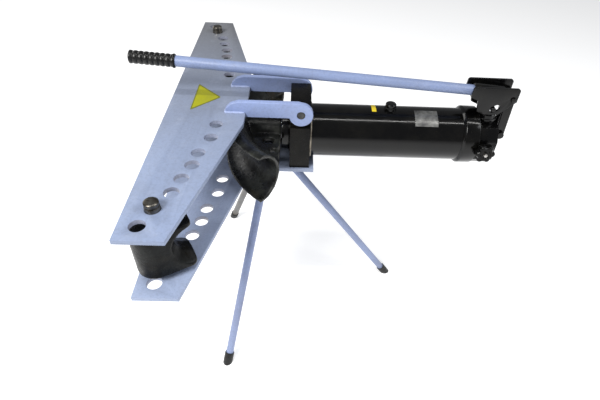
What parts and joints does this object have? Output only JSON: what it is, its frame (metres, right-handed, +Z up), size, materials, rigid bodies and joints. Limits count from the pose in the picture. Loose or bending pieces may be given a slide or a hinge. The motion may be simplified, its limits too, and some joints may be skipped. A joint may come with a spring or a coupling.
{
  "type": "hydraulic pipe bender",
  "caption": "Hand-pumped hydraulic pipe bender with a hinged top wing plate, curved former on a ram, swivel support shoes on pins, and a screw-in tripod.",
  "frame": {"origin": "on the floor, under the middle of the bounding box", "axes": "+Z up, +X from the bending end towards the pump, +Y along the wing plates to the far wing"},
  "size_m": [0.9298, 0.9708, 0.7933],
  "materials": {
    "frame_paint": "semi-gloss light blue paint",
    "black_gloss": "glossy black paint",
    "black_casting": "dusty semi-gloss black paint over a casting",
    "steel": "turned steel",
    "dark_steel": "blackened steel",
    "hard_chrome": "ground hard chrome",
    "bronze": "turned bronze",
    "rubber": "moulded rubber",
    "label": "printed vinyl",
    "plate_metal": "satin name plate"
  },
  "bodies": {
    "base": {"block_screws": "dark_steel", "check_ball": "steel", "check_spring": "steel", "colour_mark": "label", "filler_boss": "black_gloss", "foot_cap_far": "rubber", "foot_cap_near": "rubber", "foot_cap_rear": "rubber", "fulcrum_link_far": "black_gloss", "fulcrum_link_near": "black_gloss", "gland_bush": "bronze", "gland_collar": "black_gloss", "gland_seal": "rubber", "head_block": "black_gloss", "hinge_pins": "dark_steel", "leg_far": "frame_paint", "leg_near": "frame_paint", "leg_rear": "frame_paint", "leg_sockets": "frame_paint", "link_bolt": "dark_steel", "lower_plate": "frame_paint", "name_plate": "plate_metal", "plunger_wiper": "rubber", "pressure_cylinder": "steel", "pump_barrel": "black_gloss", "pump_block": "black_gloss", "rear_flange": "black_gloss", "relief_screw": "steel", "reservoir_tube": "black_gloss", "return_spring": "steel", "spring_anchor": "steel", "support_pin_far": "dark_steel", "support_pin_near": "dark_steel", "weld_bead": "steel", "wiper_ring": "rubber"},
    "top_frame": {"upper_plate": "frame_paint", "hinge_arm_near": "frame_paint", "hinge_arm_far": "frame_paint", "warning_label": "label"},
    "ram_group": {"ram": "hard_chrome", "piston": "steel", "piston_seal": "rubber", "former": "black_casting"},
    "lever": {"lever_cheek_near": "black_gloss", "lever_cheek_far": "black_gloss", "handle_socket": "black_gloss", "handle_tube": "frame_paint", "handle_grip": "rubber", "fulcrum_pin": "steel"},
    "plunger": {"pump_plunger": "hard_chrome", "plunger_pin": "steel"},
    "release_valve": {"release_spindle": "steel", "release_knob": "black_gloss", "knob_screw": "steel"},
    "shoe_near": {"support_shoe_near": "black_casting"},
    "shoe_far": {"support_shoe_far": "black_casting"},
    "filler": {"filler_plug": "black_gloss", "filler_seal": "rubber"}
  },
  "joints": [
    {"name": "top_frame_hinge", "type": "hinge", "parent": "base", "child": "top_frame", "pos_m": [-0.0633, 0, 0.6791], "axis": [0, 1, 0], "range_deg": [0, 13]},
    {"name": "ram_slide", "type": "slide", "parent": "base", "child": "ram_group", "axis": [-1, 0, 0], "range_m": [0, 0.25]},
    {"name": "pump_handle", "type": "hinge", "parent": "base", "child": "lever", "pos_m": [0.4459, 0, 0.7154], "axis": [0, 1, 0], "range_deg": [0, 40]},
    {"name": "plunger_slide", "type": "slide", "parent": "base", "child": "plunger", "axis": [0, 0, 1], "range_m": [0, 0.0318]},
    {"name": "release_turn", "type": "hinge", "parent": "base", "child": "release_valve", "pos_m": [0.3939, -0.06, 0.5991], "axis": [0, -1, 0], "range_deg": [0, 360]},
    {"name": "shoe_near_swivel", "type": "hinge", "parent": "base", "child": "shoe_near", "pos_m": [-0.3261, -0.4068, 0.5991], "axis": [0, 0, 1], "range_deg": [-60, 60]},
    {"name": "shoe_far_swivel", "type": "hinge", "parent": "base", "child": "shoe_far", "pos_m": [-0.3261, 0.4068, 0.5991], "axis": [0, 0, 1], "range_deg": [-60, 60]},
    {"name": "filler_turn", "type": "hinge", "parent": "base", "child": "filler", "pos_m": [0.1599, 0, 0.6656], "axis": [0, 0, 1], "range_deg": [0, 360]}
  ],
  "couplings": [
    {"joint": "plunger_slide", "follows": "pump_handle", "m_per_rad": 0.0455}
  ]
}
